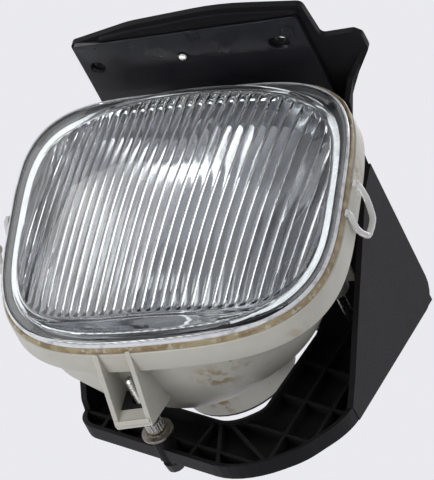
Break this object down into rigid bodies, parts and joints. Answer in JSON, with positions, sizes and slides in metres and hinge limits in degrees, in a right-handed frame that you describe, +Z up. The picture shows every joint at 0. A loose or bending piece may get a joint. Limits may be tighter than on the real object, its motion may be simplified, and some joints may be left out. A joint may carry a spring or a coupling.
{
  "type": "fog light",
  "caption": "Fog light with a clear fluted glass lens in a cream housing, tilting on ball studs in a black moulded bracket, aimed by a screw.",
  "frame": {"origin": "on the top face of the bracket's flange, above the lamp's centre", "axes": "+Z up out of the flange's top face; the lamp shines along -Y; +X is to the right for someone looking at the lens from in front"},
  "size_m": [0.2236, 0.1819, 0.2553],
  "materials": {
    "bracket_plastic": "grained moulded plastic",
    "black_steel": "semi-gloss black paint",
    "housing_plastic": "cream moulded plastic, scratched",
    "clear_glass": "clear, fluted inside",
    "mirror_coat": "bright vacuum coating",
    "grey_rubber": "dark grey gasket",
    "sealant": "aged ochre sealant",
    "zinc": "zinc plated",
    "nylon_black": "moulded nylon",
    "nylon_grey": "moulded nylon",
    "clip_white": "white plastic-coated spring wire",
    "brass": "tinned brass"
  },
  "bodies": {
    "bracket": {"mounting_bracket": "bracket_plastic", "mounting_plate": "black_steel", "plate_screw": "zinc", "aim_washer": "zinc", "pivot_stud_left": "zinc", "pivot_stud_right": "zinc", "pivot_nut_left": "zinc", "pivot_nut_right": "zinc"},
    "lamp": {"lamp_housing": "housing_plastic", "reflector": "mirror_coat", "lens": "clear_glass", "lens_gasket": "grey_rubber", "lens_sealant": "sealant", "bulb_glass": "clear_glass", "bulb_base": "zinc", "bulb_terminal": "brass", "bulb_shield": "mirror_coat", "cover_seal": "grey_rubber", "power_inlet": "nylon_black", "terminal_feed": "brass", "terminal_earth": "brass", "vent_cap": "nylon_black", "pivot_socket_left": "nylon_grey", "pivot_socket_right": "nylon_grey", "aim_nut": "nylon_black"},
    "aim_screw": {"aim_screw": "zinc", "aim_knob": "nylon_black"},
    "lens_clip_left": {"lens_clip_left": "clip_white"},
    "lens_clip_right": {"lens_clip_right": "clip_white"},
    "bulb_clip": {"bulb_clip": "zinc"},
    "rear_cover": {"rear_cover": "nylon_black"}
  },
  "joints": [
    {"name": "lamp_tilt", "type": "hinge", "parent": "bracket", "child": "lamp", "pos_m": [-0.0033, 0.071, -0.118], "axis": [1, 0, 0], "range_deg": [-2.2, 2.2]},
    {"name": "aim_spin", "type": "hinge", "parent": "bracket", "child": "aim_screw", "pos_m": [-0.017, 0.07, -0.2185], "axis": [0, -1, 0], "range_deg": [-1400, 1400]},
    {"name": "lens_clip_right_swing", "type": "hinge", "parent": "lamp", "child": "lens_clip_right", "pos_m": [0.1035, 0.012, -0.1155], "axis": [0, 0, 1], "range_deg": [-60, 0]},
    {"name": "lens_clip_left_swing", "type": "hinge", "parent": "lamp", "child": "lens_clip_left", "pos_m": [-0.1101, 0.005, -0.1155], "axis": [0, 0, 1], "range_deg": [0, 60]},
    {"name": "bulb_clip_swing", "type": "hinge", "parent": "lamp", "child": "bulb_clip", "pos_m": [-0.0033, 0.09, -0.156], "axis": [1, 0, 0], "range_deg": [-20, 0]},
    {"name": "cover_twist", "type": "hinge", "parent": "lamp", "child": "rear_cover", "pos_m": [-0.0033, 0.11, -0.135], "axis": [0, 1, 0], "range_deg": [0, 30]}
  ],
  "couplings": [
    {"joint": "aim_spin", "follows": "lamp_tilt", "ratio": 631.46}
  ]
}
